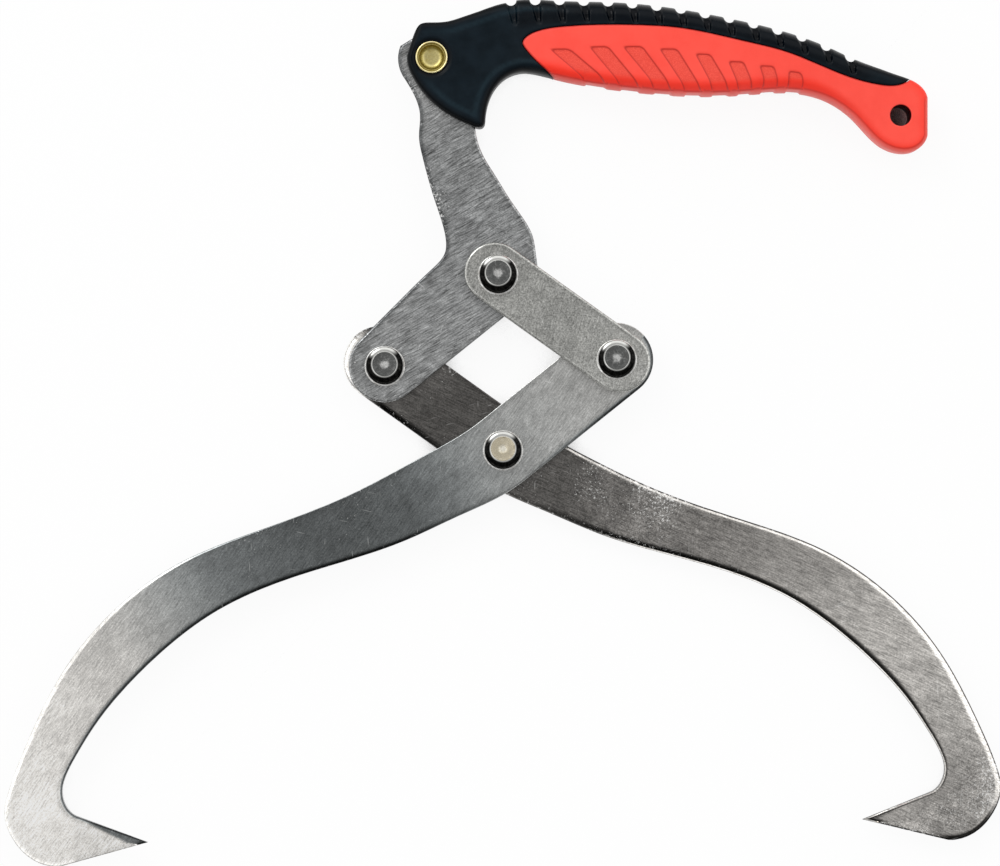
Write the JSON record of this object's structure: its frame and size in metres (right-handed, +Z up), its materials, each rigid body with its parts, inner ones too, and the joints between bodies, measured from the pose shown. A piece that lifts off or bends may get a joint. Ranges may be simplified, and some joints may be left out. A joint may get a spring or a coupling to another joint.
{
  "type": "log lifting tongs",
  "caption": "Log lifting tongs: curved hook jaws on a riveted scissor linkage that closes round a log when the pistol-shaped handle is lifted.",
  "frame": {"origin": "the middle of the overall outline, on the surface that the tongs lie on", "axes": "the tongs lie flat: +Z up through the plates towards the rivet heads, +X to the right along the handle, +Y from the hooks towards the handle"},
  "size_m": [0.399, 0.3464, 0.0241],
  "materials": {
    "lever_steel": "blanked plate, cross-brushed, scratched",
    "link_steel": "blanked plate, matt, fine scratches",
    "front_jaw_steel": "blanked plate, brushed, clear oiled",
    "rear_jaw_steel": "blanked plate, brushed, clear oiled",
    "rivet_steel": "formed rivet, turned flat top, polished shoulder",
    "washer_steel": "bright zinc plated",
    "brass": "turned, bright rim, dark cup",
    "black_plastic": "moulded, fine satin texture",
    "red_plastic": "moulded soft grip, satin"
  },
  "bodies": {
    "handle": {"handle_lever": "lever_steel", "handle_frame": "black_plastic", "handle_grip": "red_plastic", "brass_barrel": "brass", "brass_cap": "brass", "top_rivet": "rivet_steel", "top_head_washer": "washer_steel", "top_tail_washer": "washer_steel", "top_plate_spacer": "washer_steel", "left_rivet": "rivet_steel", "left_head_washer": "washer_steel", "left_tail_washer": "washer_steel", "left_plate_spacer": "washer_steel"},
    "rear_jaw": {"rear_jaw": "rear_jaw_steel", "centre_rivet": "rivet_steel", "centre_head_washer": "washer_steel", "centre_tail_washer": "washer_steel", "centre_plate_spacer": "washer_steel"},
    "connecting_link": {"connecting_link": "link_steel", "right_rivet": "rivet_steel", "right_head_washer": "washer_steel", "right_tail_washer": "washer_steel", "right_plate_spacer": "washer_steel"},
    "front_jaw": {"front_jaw": "front_jaw_steel"}
  },
  "joints": [
    {"name": "rear_jaw_on_left_pivot", "type": "hinge", "parent": "handle", "child": "rear_jaw", "pos_m": [-0.04746, 0.02671, 0.01203], "axis": [0, 0, 1], "range_deg": [-70, 33]},
    {"name": "link_on_top_pivot", "type": "hinge", "parent": "handle", "child": "connecting_link", "pos_m": [-0.00219, 0.06298, 0.01203], "axis": [0, 0, 1], "range_deg": [-70, 33]},
    {"name": "front_jaw_on_centre_pivot", "type": "hinge", "parent": "rear_jaw", "child": "front_jaw", "pos_m": [-0.00024, -0.00697, 0.01203], "axis": [0, 0, 1], "range_deg": [-33, 70]}
  ],
  "couplings": [
    {"joint": "link_on_top_pivot", "follows": "rear_jaw_on_left_pivot", "ratio": 1},
    {"joint": "front_jaw_on_centre_pivot", "follows": "rear_jaw_on_left_pivot", "ratio": -1}
  ]
}
